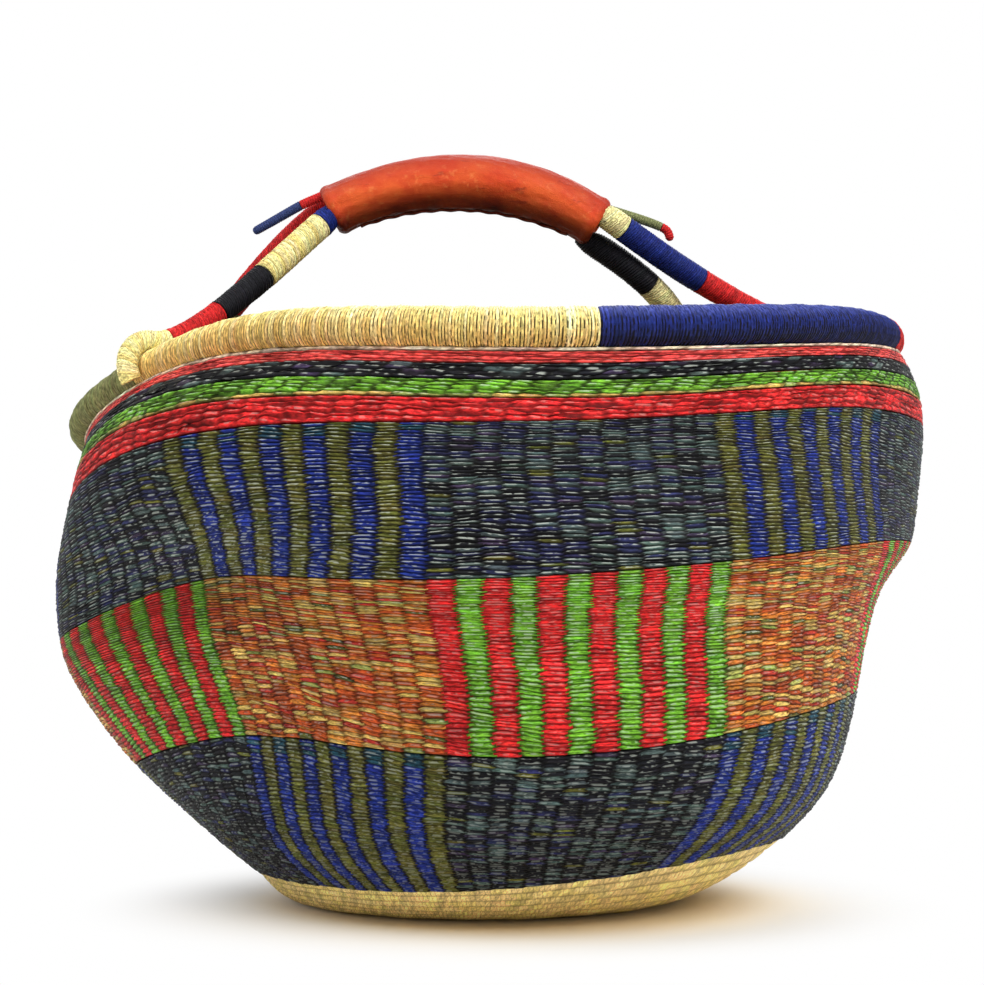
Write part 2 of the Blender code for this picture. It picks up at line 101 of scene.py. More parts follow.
def ramp(value, low, high, start=0.0, end=1.0):
    """A smooth step: start where value is below low, end where it is above high."""
    return value.node("ShaderNodeMapRange", {"interpolation_type": "SMOOTHSTEP"},
                      {0: value, 1: low, 2: high, 3: start, 4: end})


def mix(share, first, second, blend="MIX"):
    """Two colours mixed by a share."""
    base = next(v for v in (share, first, second) if isinstance(v, Socket))
    return base.node("ShaderNodeMix", {"data_type": "RGBA", "blend_type": blend},
                     {0: share, 6: first, 7: second}, 2)


def linear(colour):
    """A colour as it shows on a screen, in the linear values that materials take."""
    colour = np.asarray(colour, float)
    return np.where(colour <= 0.04045, colour / 12.92, ((colour + 0.055) / 1.055) ** 2.4)


def rgba(*colour):
    """A screen colour as the four values of a colour socket."""
    return (*linear(colour), 1.0)


def new_material(name, roughness, specular):
    """A material, its Principled shader, and a socket from which its nodes are made."""
    material = bpy.data.materials.new(name)
    material.use_nodes = True
    shader = material.node_tree.nodes["Principled BSDF"]
    shader.inputs["Roughness"].default_value = roughness
    shader.inputs["Specular IOR Level"].default_value = specular
    return material, shader, Socket(material.node_tree)


def feed(node, name, value):
    """Link a value to one of a node's sockets."""
    value.tree.links.new(value.output, node.inputs[name])


def feed_bump(shader, height, strength, distance):
    """Shade a surface as if it rose by a share of the distance, in metres, with height."""
    feed(shader, "Normal", height.node("ShaderNodeBump", inputs={
        "Strength": strength, "Distance": distance, "Height": height}))


def noise(place, scale, detail, roughness=0.5, kind="3D"):
    """Cloudy noise around 0.5 at a place."""
    return place.node("ShaderNodeTexNoise", {"noise_dimensions": kind}, {
        "Vector": place, "Scale": scale, "Detail": detail, "Roughness": roughness})


# Floor and backdrop: white paper that keeps the basket's soft shadow close to it, tinted
# warm near it with painted light bounced from the straw, and turns plain white further
# out. The same white shows all round.
FLOOR_HALF = 6.0
SHADOW_MIDDLE = (0.01, -0.02, 0.0)
SHADOW_REACH = (0.08, 0.20)

floor_mesh = bpy.data.meshes.new("floor")
floor_mesh.from_pydata([(x * FLOOR_HALF, y * FLOOR_HALF, 0.0)
                        for x, y in ((-1, -1), (1, -1), (1, 1), (-1, 1))], [], [(0, 1, 2, 3)])
floor = bpy.data.objects.new("floor", floor_mesh)
scene.collection.objects.link(floor)

floor_material, floor_shader, root = new_material("white_paper", 0.9, 0.1)
place = root.node("ShaderNodeTexCoord", output="Object")
distance = root.node("ShaderNodeVectorMath", {"operation": "DISTANCE"},
                     {0: place, 1: SHADOW_MIDDLE}, "Value")
ray = root.node("ShaderNodeLightPath", output="Is Camera Ray")
plain = root.node("ShaderNodeEmission", inputs={"Color": (1.0, 1.0, 1.0, 1.0), "Strength": 1.0})
outside = ramp(distance, *SHADOW_REACH)
# Painted light: the paper's colour turns warm cream near the basket, as if lit by light bounced
# from the straw
feed(floor_shader, "Base Color", mix(outside, rgba(0.99, 0.93, 0.83), rgba(1.0, 1.0, 0.99)))
paper = Socket(root.tree, floor_shader.outputs[0])
feed(floor_material.node_tree.nodes["Material Output"], "Surface",
     root.node("ShaderNodeMixShader", inputs={0: outside * ray, 1: paper, 2: plain}))
floor_mesh.materials.append(floor_material)

# Light: an even studio, with a large soft lamp high on the front right, weaker ones on the
# front left and behind, and a white surround that also lights the shaded sides.
SURROUND = 0.48
LAMP_SIZE = 1.2
LAMPS = (
    ("key", (1.1, -1.4, 1.8), 38.0),
    ("fill", (-0.9, -0.9, 2.1), 18.0),
    ("back", (0.2, 1.6, 1.4), 12.0),
)
LAMP_AIM = (0.0, 0.0, 0.12)

world = bpy.data.worlds.new("studio")
scene.world = world
world.use_nodes = True
surround = world.node_tree.nodes["Background"]
surround.inputs["Color"].default_value = (1.0, 1.0, 1.0, 1.0)
root = Socket(world.node_tree)
seen = [root.node("ShaderNodeLightPath", output=f"Is {kind} Ray")
        for kind in ("Camera", "Glossy", "Transmission")]
shown = root.maths("MAXIMUM", root.maths("MAXIMUM", seen[0], seen[1]), seen[2])
feed(surround, "Strength", SURROUND + shown * (1.0 - SURROUND))

for name, place, power in LAMPS:
    lamp_data = bpy.data.lights.new(name, "AREA")
    lamp_data.size = LAMP_SIZE
    lamp_data.energy = power
    lamp = bpy.data.objects.new(name, lamp_data)
    lamp.location = place
    towards = np.array(LAMP_AIM) - np.array(place)
    flat = math.hypot(towards[0], towards[1])
    lamp.rotation_euler = (math.atan2(flat, -towards[2]), 0.0,
                           math.atan2(-towards[0], towards[1]))
    scene.collection.objects.link(lamp)


# Woven wall: elephant grass twisted in pairs round upright stakes, worked from the base
# up. Each stitch covers one stake. Dyed strands give stripes where a stake keeps its
# colour, and a mixed cloth where the pair changes over from row to row.
BODY_HALF_WIDTH = 0.200
BODY_HALF_DEPTH = 0.176
BODY_HEIGHT = 0.220
WALL_THICKNESS = 0.0042
SEAT_GAP = 0.0003
SLOPE_STEP = 1e-4
UPRIGHT = np.array([0.0, 0.0, 1.0])

RING_LEVELS = (0.0, 0.5, 1.0, 1.5, 2.0, 2.5, 3.0, 4.0)
RING_SHARES = {
    "height": (0.095, 0.20, 0.355, 0.535, 0.635, 0.75, 0.865, 1.03),
    "width": (0.60, 0.71, 0.815, 0.91, 0.97, 0.99, 0.97, 0.935),
    "depth": (0.69, 0.83, 0.925, 0.985, 1.02, 1.035, 1.03, 0.95),
    "aside": (0.065, 0.045, 0.005, -0.03, -0.015, 0.015, 0.045, 0.015),
    "climb_right": (0.06, 0.08, 0.11, 0.12, 0.11, 0.12, 0.12, 0.11),
    "climb_back": (0.01, 0.01, -0.01, -0.02, -0.05, -0.08, -0.10, -0.06),
    "wave_twice": (0.01, -0.01, -0.04, -0.045, -0.045, -0.035, -0.045, -0.06),
    "wave_thrice": (-0.005, -0.005, -0.025, -0.02, -0.03, -0.025, -0.035, -0.025),
    "skew": (0.015, 0.065, 0.11, 0.115, 0.13, -0.025, -0.09, 0.02),
    "lobe_even": (0.015, 0.005, 0.04, 0.065, 0.105, 0.085, 0.025, 0.04),
    "lobe_odd": (0.01, -0.005, 0.01, 0.015, 0.005, 0.045, 0.045, 0.03),
}
# How the stakes lean to one side on their way up: the stake that stands on the front
# line at each level, and how much the spacing is squeezed, once and twice round. The lean
# fades to one shift at the back, from where 1 plus the cosine of the turn is LEAN_FADE.
STAKE_SHARES = {
    "front": (3.0, 2.75, 3.25, 3.75, 5.0, 2.25, 2.5, -1.25),
    "cos_once": (-0.04, -0.04, 0.04, 0.08, 0.10, -0.07, -0.08, 0.02),
    "sin_once": (-0.07, 0.04, 0.06, 0.10, 0.13, 0.09, 0.01, 0.01),
    "cos_twice": (-0.01, 0.01, 0.03, 0.03, 0.04, 0.04, 0.03, -0.02),
    "sin_twice": (0.06, 0.05, -0.01, -0.09, -0.13, -0.11, -0.04, -0.01),
}
STAKES = 120
STAKES_IN_BLOCK = 12
BACK_STAKE_SHIFT = 3.0
LEAN_FADE = 0.8
STAKE_SAMPLES = (0.0, 0.13, 0.5, 0.87)
ROW_SAMPLES = (0.0, 0.28, 0.72)

# Relief of a stitch: the power of its ridge, how far its crest stands out, how deep the
# gaps between rows and between stakes are, how much stitches differ, how far it leans over
# its stake, its slant and wander in rows, and how far its ends stray aside, in stakes
RIDGE_POWER = 0.8
CREST = 0.0004
ROW_GAP_DEPTH = 0.0011
STAKE_GAP_DEPTH = 0.0005
STITCH_LUMP = 0.0003
TWIST = 0.30
SLANT = 0.16
WANDER = 0.35
STRAY = 0.06

DYES = {
    "blue": (0.12, 0.18, 0.48), "olive": (0.36, 0.36, 0.16), "navy": (0.15, 0.16, 0.29),
    "moss": (0.28, 0.34, 0.33), "black": (0.09, 0.09, 0.11), "red": (0.82, 0.16, 0.16),
    "green": (0.42, 0.65, 0.18), "rust": (0.68, 0.30, 0.13), "straw": (0.77, 0.64, 0.34),
    # salmon is the top row's pale salmon, painted lighter still as light against the rim's shadow
    "orange": (0.76, 0.45, 0.18), "salmon": (1.0, 0.88, 0.76), "teal": (0.14, 0.28, 0.34),
    "natural": (0.96, 0.88, 0.56), "pale": (0.98, 0.93, 0.66), "gold": (0.97, 0.87, 0.60),
    "khaki": (0.50, 0.52, 0.34), "lime": (0.56, 0.60, 0.30), "plum": (0.23, 0.19, 0.28),
    # Of the reds, the palest is painted light: the bands' red lightened for the upper band, which
    # lies in the rim's shadow
    "crimson": (0.66, 0.20, 0.15), "painted_lit_red": (0.95, 0.32, 0.30), "denim": (0.20, 0.25, 0.44),
}

# The two strands of a mixed block, each in several dyes with their likelihoods
MIXES = {
    # Lower zone: darker than the upper zone's mix, with more black, as painted shade on the
    # downward-facing lower wall
    "lower_weft_zone": ((("black", 0.70), ("navy", 0.22), ("plum", 0.08)),
                        (("moss", 0.42), ("black", 0.50), ("olive", 0.08))),
    "middle_weft_zone": ((("rust", 0.62), ("orange", 0.22), ("crimson", 0.16)),
                         (("straw", 0.58), ("orange", 0.27), ("olive", 0.09), ("lime", 0.06))),
    "upper_weft_zone": ((("navy", 0.50), ("black", 0.38), ("plum", 0.12)),
                        (("moss", 0.70), ("black", 0.20), ("olive", 0.10))),
}
STREAK_ROWS = 4.5

# Pieces from the base up: CAD node, first and last level, rows, dye of plain rows, slot
WALL = (
    ("lower_weft_zone", 0.0, 1.0, 48, None, "slate_weave"),
    ("middle_weft_zone", 1.0, 2.0, 48, None, "orange_weave"),
    ("upper_weft_zone", 2.0, 3.0, 42, None, "slate_weave"),
    ("lower_red_band", 3.0, 3.25, 5, "red", "red_straw"),
    ("green_band", 3.25, 3.48, 5, "green", "green_straw"),
    ("black_band", 3.48, 3.73, 4, "black", "black_straw"),
    # The upper band's red is lighter than the lower band's: painted light against the rim's shadow
    ("upper_red_band", 3.73, 3.93, 4, "painted_lit_red", "red_straw"),
    # A pale salmon row, painted lighter still against the rim's shadow
    ("top_edge_row", 3.93, 4.0, 1, "salmon", "salmon_straw"),
)


def natural_spline(knots, values, at):
    """Natural cubic spline through (knots, values), straight past both ends."""
    knots = np.asarray(knots, float)
    values = np.asarray(values, float)
    step = np.diff(knots)
    slope = np.diff(values) / step
    count = len(knots)
    matrix = np.eye(count)
    right = np.zeros(count)
    for k in range(1, count - 1):
        matrix[k, k - 1:k + 2] = (step[k - 1], 2.0 * (step[k - 1] + step[k]), step[k])
        right[k] = 6.0 * (slope[k] - slope[k - 1])
    bend = np.linalg.solve(matrix, right)
    k = np.clip(np.searchsorted(knots, at) - 1, 0, count - 2)
    a = (knots[k + 1] - at) / step[k]
    b = 1.0 - a
    curve = ((a ** 3 - a) * bend[k] + (b ** 3 - b) * bend[k + 1]) * step[k] ** 2 / 6.0
    return a * values[k] + b * values[k + 1] + curve


def wall_surface(level, angle):
    """Outer face of the wall: an oval ring for each level, leaning to one side, whose front
    half carries waves in height and lobes in plan that fade out towards the back.
    """
    share = {key: natural_spline(RING_LEVELS, row, level) for key, row in RING_SHARES.items()}
    front = 0.5 + 0.5 * np.cos(angle)
    lobes = (share["skew"] * np.sin(2.0 * angle) + share["lobe_even"] * np.cos(3.0 * angle)
             + share["lobe_odd"] * np.sin(3.0 * angle))
    swell = 1.0 + front * lobes
    x = BODY_HALF_WIDTH * (share["aside"] + share["width"] * np.sin(angle) * swell)
    y = -BODY_HALF_DEPTH * share["depth"] * np.cos(angle) * swell
    waves = (share["wave_twice"] * np.sin(2.0 * angle)
             + share["wave_thrice"] * np.cos(3.0 * angle))
    z = (BODY_HEIGHT * (share["height"] + front * waves)
         + share["climb_right"] * x + front * share["climb_back"] * y)
    return np.stack(np.broadcast_arrays(x, y, z), axis=-1)


def unit(vectors):
    """Vectors scaled to length 1."""
    return vectors / np.linalg.norm(vectors, axis=-1, keepdims=True)


def surface_frames(surface, level, angle):
    """Points of a surface, with directions up it, square to its rings, and inward."""
    point = surface(level, angle)
    up = unit(surface(level + SLOPE_STEP, angle) - surface(level - SLOPE_STEP, angle))
    around = unit(surface(level, angle + SLOPE_STEP) - surface(level, angle - SLOPE_STEP))
    inward = unit(np.cross(up, around))
    return point, unit(np.cross(around, inward)), inward


def stake_angle(stake, level):
    """Angle of a stake at a level: even spacing from the stake on the front line, squeezed
    and stretched by sines of once and twice the turn, less and less towards the back, where
    the stakes stand straight.
    """
    share = {key: natural_spline(RING_LEVELS, row, level) for key, row in STAKE_SHARES.items()}
    spacing = math.tau / STAKES
    turn = spacing * (stake - BACK_STAKE_SHIFT)
    near = np.clip((1.0 + np.cos(turn)) / LEAN_FADE, 0.0, 1.0)
    near = near ** 2 * (3.0 - 2.0 * near)
    turn = turn - spacing * near * (share["front"] - BACK_STAKE_SHIFT)
    front = 0.5 + 0.5 * np.cos(turn)
    squeeze = (share["cos_once"] * np.cos(turn) + share["sin_once"] * np.sin(turn)
               + share["cos_twice"] * np.cos(2.0 * turn) + share["sin_twice"] * np.sin(2.0 * turn))
    return turn + front * squeeze


def waver(across, along, turns, seed, waves=14):
    """Smooth irregularity between about -1 and 1: a sum of sines of random phase.

    across runs from 0 to 1 and closes on itself. turns limits the waves in 0 to 1.
    """
    pick = np.random.default_rng(seed)
    total = np.zeros(np.broadcast(across, along).shape)
    for _ in range(waves):
        count = pick.integers(1, turns)
        rise, phase = pick.uniform(-1.0, 1.0), pick.uniform(0.0, 6.3)
        total += np.sin(math.tau * count * across + turns * rise * along + phase)
    return total / math.sqrt(waves)


def stops_at(count, samples):
    """Places along count stitches, at the sample shares of each, and the last edge."""
    return np.append((np.arange(count)[:, None] + np.array(samples)).ravel(), float(count))


def grid_piece(name, rings, across, along, dye, capped=False):
    """An object from rings of points, shape (rings, columns, 3), each closed on itself.

    The last ring joins the first, or both are capped. across has one value more than the
    columns and along one for each ring: they become the UV map. dye is a colour per face.
    """
    count, size = rings.shape[:2]
    spans = count - 1 if capped else count
    i, j = np.meshgrid(np.arange(spans), np.arange(size), indexing="ij")
    i_next, j_next = (i + 1) % count, (j + 1) % size
    corners = np.stack([i * size + j, i * size + j_next, i_next * size + j_next,
                        i_next * size + j], axis=-1).reshape(-1)
    along = np.append(along, along[0])
    uv = np.stack([np.stack([across[j], across[j + 1], across[j + 1], across[j]], axis=-1),
                   np.stack([along[i], along[i], along[i + 1], along[i + 1]], axis=-1)],
                  axis=-1).reshape(-1, 2)
    sides = np.full(spans * size, 4)
    dye = dye.reshape(-1, 3)
    if capped:
        ring = np.arange(size)
        corners = np.concatenate([corners, ring[::-1], (count - 1) * size + ring])
        caps = np.concatenate([np.stack([across[:-1], np.full(size, along[k])], axis=-1)
                               for k in (0, count - 1)])
        uv = np.concatenate([uv, caps])
        sides = np.append(sides, (size, size))
        dye = np.concatenate([dye, dye[:1], dye[-1:]])
    mesh = bpy.data.meshes.new(name)
    mesh.vertices.add(count * size)
    mesh.vertices.foreach_set("co", rings.reshape(-1).astype(np.float32))
    mesh.loops.add(len(corners))
    mesh.loops.foreach_set("vertex_index", corners.astype(np.int32))
    mesh.polygons.add(len(sides))
    mesh.polygons.foreach_set("loop_start", (np.cumsum(sides) - sides).astype(np.int32))
    mesh.update(calc_edges=True)
    mesh.uv_layers.new(name="weave").data.foreach_set("uv", uv.reshape(-1).astype(np.float32))
    colours = np.concatenate([np.clip(dye, 0.0, 1.0), np.ones((len(dye), 1))], axis=-1)
    attribute = mesh.attributes.new("dye", "FLOAT_COLOR", "FACE")
    attribute.data.foreach_set("color", colours.reshape(-1).astype(np.float32))
    mesh.validate()
    mesh.shade_smooth()
    piece = bpy.data.objects.new(name, mesh)
    scene.collection.objects.link(piece)
    return piece


def finish_piece(piece, material, node):
    """Give a piece its material, and let it ride in place of a CAD node."""
    piece.data.materials.append(material)
    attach(piece, "root")
    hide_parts(node)


draw = np.random.default_rng(7)


def vary(colours, light, tint):
    """Linear colours, each lightened or darkened and tinted a little at random."""
    shape = colours.shape[:-1]
    shade = np.exp(draw.normal(0.0, light, shape))[..., None]
    return linear(colours) * shade * np.exp(draw.normal(0.0, tint, colours.shape))


def stitch_dyes(name, rows, plain_dye):
    """Linear dye of every stitch, shape (rows, stakes, 3), from the basket's pattern.

    In a mixed block one strand or the other comes to the front, by turns and by chance. Its
    likelihood changes in streaks that move on by a stake every few rows.
    """
    row, stake = np.meshgrid(np.arange(rows), np.arange(STAKES), indexing="ij")
    chance = draw.random((rows, STAKES, 1))
    if plain_dye:
        colours = np.broadcast_to(DYES[plain_dye], (rows, STAKES, 3)).copy()
        if name == "green_band":
            colours[0] = np.where(chance[0] < 0.6, DYES["straw"], DYES["lime"])
        if name == "black_band":
            colours = np.where(chance < 0.15, DYES["moss"], colours)
            colours = np.where(chance > 0.85, DYES["plum"], colours)
        return vary(colours, 0.14, 0.04)
    picks = []
    for strand in MIXES[name]:
        shares = np.cumsum([share for _, share in strand])
        shades = np.array([DYES[key] for key, _ in strand])
        picks.append(shades[np.searchsorted(shares[:-1], draw.random((rows, STAKES)))])
    streak = waver((stake + row / STREAK_ROWS) / STAKES, 0.1 * row / rows, 60, rows)
    by_turns = np.where((stake + row) % 2 == 1, 0.3, -0.3)
    mixed = np.where(chance < (0.5 + 0.2 * streak + by_turns)[..., None], *picks)
    odd = (stake % 2 == 1)[..., None]
    even_block = (stake // STAKES_IN_BLOCK % 2 == 0)[..., None]
    if name == "middle_weft_zone":
        stripes = np.where(odd, DYES["green"], DYES["red"])
        return vary(np.where(even_block, stripes, mixed), 0.16, 0.05)
    if name == "lower_weft_zone":
        odd = ~odd
    stripes = np.where(odd, DYES["blue"], DYES["olive"])
    top = (row > rows - 5)[..., None] & odd & (chance < 0.6)
    stripes = np.where(top, DYES["teal"], stripes)
    return vary(np.where(even_block, mixed, stripes), 0.16, 0.05)


def woven_face(stakes, at, first, last, rows, lumps, strays, seed, lining):
    """Points of one face of a woven band.

    Each stitch is a bead: its ridge over a row is a power of a half sine, and across its
    stake it is full and falls off at both ends, further along the higher it is in the row.
    Rows slant and wander a little. The top edge of the basket stays full.
    """
    u, v = np.meshgrid(stakes, at)
    fade = np.clip(np.minimum(v, rows - v), 0.0, 1.0)
    shift = fade * (SLANT * np.sin(math.tau * u)
                    + WANDER * waver(u / STAKES, v / rows, 40, seed))
    level = np.clip(first + (last - first) * (v + shift) / rows, first, last)
    row, stake = np.minimum(v.astype(int), rows - 1), u.astype(int)
    stray, next_stray = strays[row, stake], strays[row, (stake + 1) % STAKES]
    aside = stray + (next_stray - stray) * (u % 1.0)
    point, up, inward = surface_frames(wall_surface, level, stake_angle(u + aside, level))
    rise = v % 1.0
    ridge = np.sin(math.pi * rise) ** RIDGE_POWER
    ridge = np.where((v == rows) & (last == RING_LEVELS[-1]), 0.9, ridge)
    across = (u + TWIST * (rise - 0.5)) % 1.0
    bead = np.sqrt(1.0 - np.abs(2.0 * across - 1.0) ** 4)
    lump = lumps[row, stake]
    relief = (CREST + lump * ridge * bead - ROW_GAP_DEPTH * (1.0 - ridge)
              - STAKE_GAP_DEPTH * ridge * (1.0 - bead))
    inset = SEAT_GAP * 0.5 * (1.0 * (v == 0.0) - (v == rows))
    depth = np.full_like(u, WALL_THICKNESS) if lining else -relief
    return point + inset[..., None] * up + depth[..., None] * inward


def face_dyes(dyes, across, along, twist=0.0):
    """Dye of each face from the stitch that its middle lies on. Stitches lean by twist."""
    along = np.append(along, along[0])
    at = np.clip(0.5 * (along[:-1] + along[1:]), 0.0, len(dyes) - 0.5)[:, None]
    lean = twist * (at % 1.0 - 0.5)
    stake = np.floor(0.5 * (across[:-1] + across[1:])[None, :] + lean).astype(int)
    return dyes[at.astype(int), stake % dyes.shape[1]]


def weave_values(root):
    """What a piece's UV map and dye tell its material: the way round in stakes or radians,
    the height in rows or strands, the height within one of them, and the dye.
    """
    uv = root.node("ShaderNodeUVMap", {"uv_map": "weave"})
    u, v = (root.node("ShaderNodeSeparateXYZ", inputs={0: uv}, output=axis) for axis in "XY")
    dye = root.node("ShaderNodeAttribute", {"attribute_name": "dye"}, output="Color")
    return u, v, root.maths("FRACT", v), dye


def grass_noise(u, v, detail, roughness=0.6):
    """Flat noise over a piece's UV map, stretched along its strands by the scales given."""
    place = u.node("ShaderNodeCombineXYZ", inputs={0: u, 1: v})
    return noise(place, 1.0, detail, roughness, "2D")


def straw_material(name, shine, twist, low_shade, side_shade, sheen, fibre_shade):
    """Dyed grass: the piece's dye with fibre streaks along each strand, with painted shade low
    in each row, in the gaps and where a stitch goes under at its ends, and painted
    highlights in short pale lines on its crest, most on dark dyes and high on the basket. The
    last four values set how strongly these show.
    """
    material, shader, root = new_material(name, shine, 0.1)
    u, v, rise, dye = weave_values(root)
    end = root.maths("ABSOLUTE", root.maths("FRACT", u + (rise - 0.5) * twist) * 2.0 - 1.0)
    fibres = grass_noise(u * 3.0, v * 4.5, 3.0)
    lines = grass_noise(u * 1.8, v * 1.3, 2.0)
    patches = grass_noise(u * 0.5, v * 0.25, 2.0)
    colour = mix(1.0, dye, ramp(fibres, 0.30, 0.70, 1.0 - fibre_shade, 1.0 + fibre_shade),
                 "MULTIPLY")
    colour = mix(1.0, colour, ramp(patches, 0.3, 0.7, 0.75, 1.25), "MULTIPLY")
    place = root.node("ShaderNodeTexCoord", output="Object")
    height = root.node("ShaderNodeSeparateXYZ", inputs={0: place}, output="Z")
    redness = root.node("ShaderNodeSeparateColor", inputs={0: dye}, output=0)
    # Painted highlight: pale short lines on the crest of each row, weaker low on the basket and on
    # bright dyes, by sheen
    crest = root.maths("MINIMUM", ramp(rise, 0.48, 0.66), ramp(rise, 0.95, 0.82))
    glint = crest * ramp(lines, 0.48, 0.60) * ramp(end, 1.0, 0.55) * sheen
    glint = glint * ramp(height, 0.03, 0.12, 0.35, 1.0) * ramp(redness, 0.08, 0.5, 1.0, 0.4)
    colour = mix(glint, colour, mix(0.38, dye, rgba(0.92, 0.95, 0.90)))
    # Painted shade: darker low in each row and in the gaps between rows, towards a darker copy of
    # the dye
    low = root.maths("MINIMUM", ramp(rise, 0.05, 0.55), ramp(rise, 1.0, 0.90))
    hidden = mix(1.0, dye, rgba(0.36, 0.30, 0.28), "MULTIPLY")
    colour = mix((1.0 - low) * ramp(patches, 0.3, 0.6, 1.0, 0.8) * low_shade, colour, hidden)
    # Painted shade at the ends of each stitch, in the soft valleys between stakes
    side = ramp(end, 0.55, 0.95) * ramp(lines, 0.30, 0.5) * ramp(redness, 0.1, 0.6, 1.0, 0.6)
    colour = mix(side * side_shade, colour, hidden)
    feed(shader, "Base Color", colour)
    relief = fibres * 0.7 + root.maths("SINE", rise * math.pi) - ramp(end, 0.75, 1.0) * 0.5
    feed_bump(shader, relief, 0.5, CREST)
    return material


weave = straw_material("woven_grass", 0.55, TWIST, 0.95, 0.95, 1.0, 0.55)
stakes = stops_at(STAKES, STAKE_SAMPLES)
for number, (name, first, last, rows, plain_dye, slot) in enumerate(WALL):
    up_rows = stops_at(rows, ROW_SAMPLES)
    down_rows = np.arange(rows, -1.0, -1.0)
    dyes = stitch_dyes(name, rows, plain_dye)
    lumps = STITCH_LUMP * draw.uniform(-1.0, 1.0, (rows, STAKES))
    strays = STRAY * draw.normal(0.0, 1.0, (rows, STAKES))
    faces = [woven_face(stakes[:-1], at, first, last, rows, lumps, strays, number, lining)
             for at, lining in ((up_rows, False), (down_rows, True))]
    along = np.concatenate([up_rows, down_rows])
    piece = grid_piece(f"{name}_stitches", np.concatenate(faces), stakes, along,
                       face_dyes(dyes, stakes, along, TWIST))
    finish_piece(piece, weave, name)


# Base: the stakes start crossed under the basket, and undyed grass is worked round them
# in slanting strands, coarser than the wall. It is flat where it rests and rounds up to
# the wall.
FLOOR_WIDTH = 0.41 * BODY_HALF_WIDTH
FLOOR_DEPTH = 0.43 * BODY_HALF_DEPTH
FLOOR_ASIDE = -0.03 * BODY_HALF_WIDTH
BASE_CURVE_POWER = 1.7
BASE_THICKNESS = 0.005
BASE_STAKES = 120
UNDER_ROWS = 16
SIDE_ROWS = 8
STRANDS_ON_STAKE = 3.0
BASE_RELIEF = 0.0009
BASE_TWIST = 1.4
ROUNDING_ROWS = 1.5
MIDDLE_SHARE = 0.01


def base_surface(level, angle):
    """Outer face of the base: level -1 where it meets the floor, 0 at the wall. Its height
    grows as a power of the way out."""
    edge = wall_surface(np.zeros_like(level), angle)
    foot_x = FLOOR_ASIDE + FLOOR_WIDTH * np.sin(angle)
    foot_y = -FLOOR_DEPTH * np.cos(angle)
    out = level + 1.0
    x = foot_x + (edge[..., 0] - foot_x) * out
    y = foot_y + (edge[..., 1] - foot_y) * out
    z = edge[..., 2] * out ** BASE_CURVE_POWER
    return np.stack(np.broadcast_arrays(x, y, z), axis=-1)


def base_face(at, seed, lining):
    """Points of the base: rings shrink evenly to the middle under it, and follow the
    rounded side further out. Gaps between stitches are cut inwards from the outer face.
    """
    u, v = np.meshgrid(base_stakes[:-1], at)
    side = np.clip((v - UNDER_ROWS) / SIDE_ROWS, 0.0, 1.0)
    angle = stake_angle(u * STAKES / BASE_STAKES, np.zeros_like(u))
    level = np.maximum(side - 1.0, SLOPE_STEP - 1.0)
    point, up, inward = surface_frames(base_surface, level, angle)
    middle = np.array([FLOOR_ASIDE, 0.0, 0.0])
    under = np.clip(v / UNDER_ROWS, MIDDLE_SHARE, 1.0)[..., None]
    point = np.where(v[..., None] < UNDER_ROWS, middle + (point - middle) * under, point)
    turn = np.clip((v - UNDER_ROWS) / ROUNDING_ROWS, 0.0, 1.0)[..., None]
    inward = unit(inward * turn + UPRIGHT * (1.0 - turn))
    ridge = np.sin(math.pi * (v % 1.0)) ** RIDGE_POWER
    lump = 0.5 + 0.25 * waver(u / BASE_STAKES, v / UNDER_ROWS, 24, seed)
    hollow = BASE_RELIEF * (1.0 - ridge + 0.6 * np.clip(lump, 0.0, 1.0))
    edge = np.clip(v - UNDER_ROWS - SIDE_ROWS + 1.0, 0.0, 1.0)
    depth = BASE_THICKNESS + (WALL_THICKNESS - BASE_THICKNESS) * edge if lining else hollow
    inset = SEAT_GAP * 0.5 * (v == UNDER_ROWS + SIDE_ROWS)
    return point - inset[..., None] * up + depth[..., None] * inward


base_rows = UNDER_ROWS + SIDE_ROWS
base_stakes = stops_at(BASE_STAKES, STAKE_SAMPLES)
base_up = stops_at(base_rows, ROW_SAMPLES)[1:]
base_down = np.arange(base_rows, 0.0, -1.0)
rings = np.concatenate([base_face(base_up, 51, False), base_face(base_down, 51, True)])
along = np.concatenate([base_up, base_down])
chance = draw.random((base_rows, BASE_STAKES, 1))
colours = np.where(chance > 0.6, DYES["natural"], DYES["gold"])
dyes = vary(colours, 0.06, 0.02)
straw_base = straw_material("undyed_grass", 0.58, BASE_TWIST, 0.6, 0.5, 0.6, 0.28)
piece = grid_piece("base_disc_stitches", rings, STRANDS_ON_STAKE * base_stakes, along,
                   face_dyes(dyes, base_stakes, along, BASE_TWIST)[:-1], capped=True)
finish_piece(piece, straw_base, "base_disc")


# Rim: the stakes' ends are turned over and bundled along the top edge, and strands are
# wound tightly round the bundle, in a new colour every few hand's widths.
RIM_DIAMETER = 0.0155
RIM_WRAP_THICKNESS = 0.0022
RIM_LEAN = math.radians(4.0)
RIM_STRAND = 0.0014
RIM_FULLNESS = 0.0002
RIM_SIDES = 20
RIM_STEPS = 1440
STRAND_SAMPLES = (0.0, 0.25, 0.5, 0.75)
STRAND_WIDTHS = (0.7, 1.35)
GROOVE_SHARE = 0.35
STRAND_LUMP = 0.08
RIM_SWELL = 0.00015
SWELL_LENGTH = 0.0145
RIM_TILT = 0.0006
# Tint of the painted shade on the rim's underside: it darkens blue most and red least, so the
# straw goes brown
UNDER_SHADE_TINT = (0.45, 0.78, 1.0)

# A wound stretch stops half a gap short of the next
END_GAPS = np.array([0.5, -0.5]) * SEAT_GAP

